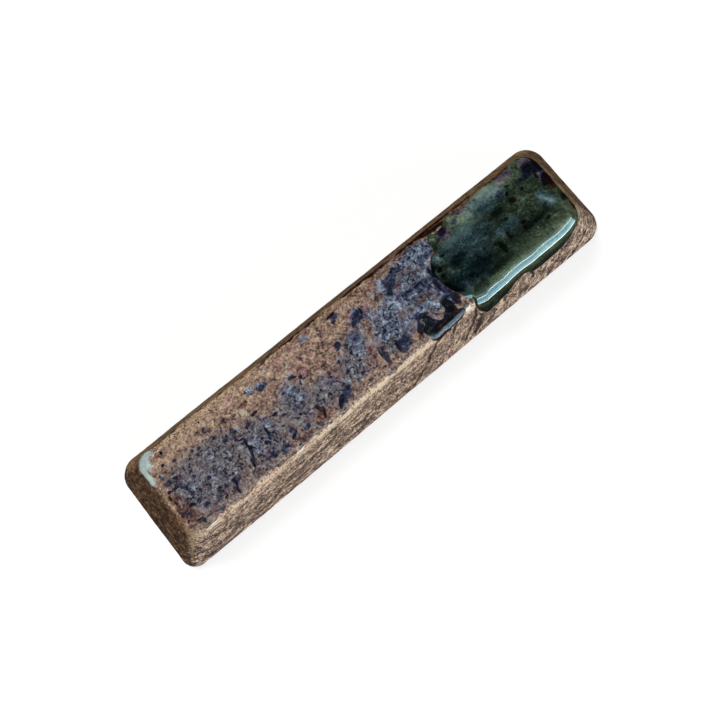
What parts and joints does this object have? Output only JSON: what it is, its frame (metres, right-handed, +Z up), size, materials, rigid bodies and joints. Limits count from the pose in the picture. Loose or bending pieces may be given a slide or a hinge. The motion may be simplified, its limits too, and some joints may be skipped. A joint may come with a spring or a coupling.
{
  "type": "chopstick rest",
  "caption": "Handmade bar-shaped stoneware chopstick rest with leaning sides, speckled coat, mottled flat top and a green glass pool run over one edge.",
  "frame": {"origin": "middle of the flat foot, on the table plane", "axes": "+X along the bar towards the green glass end, +Z up, and the near long side that the glass runs down faces -Y"},
  "size_m": [0.075, 0.0176, 0.0106],
  "materials": {
    "bare_clay": "matt, slightly gritty",
    "speckled_coat": "satin gloss with dark iron specks",
    "iron_glaze": "satin, mottled grey-brown and blue",
    "green_glass": "high gloss",
    "blue_crystal": "crystalline satin",
    "dark_glass": "high gloss",
    "celadon": "gloss",
    "run_glaze": "gloss",
    "blister_glaze": "satin gloss"
  },
  "bodies": {
    "root": {"clay_body": "bare_clay", "speckled_coat": "speckled_coat", "iron_glaze_field": "iron_glaze", "green_glass_pool": "green_glass", "blue_crystal_crust": "blue_crystal", "edge_glass_bead": "dark_glass", "corner_celadon_spot": "celadon", "glaze_runs": "run_glaze", "glaze_blisters": "blister_glaze"}
  },
  "joints": []
}
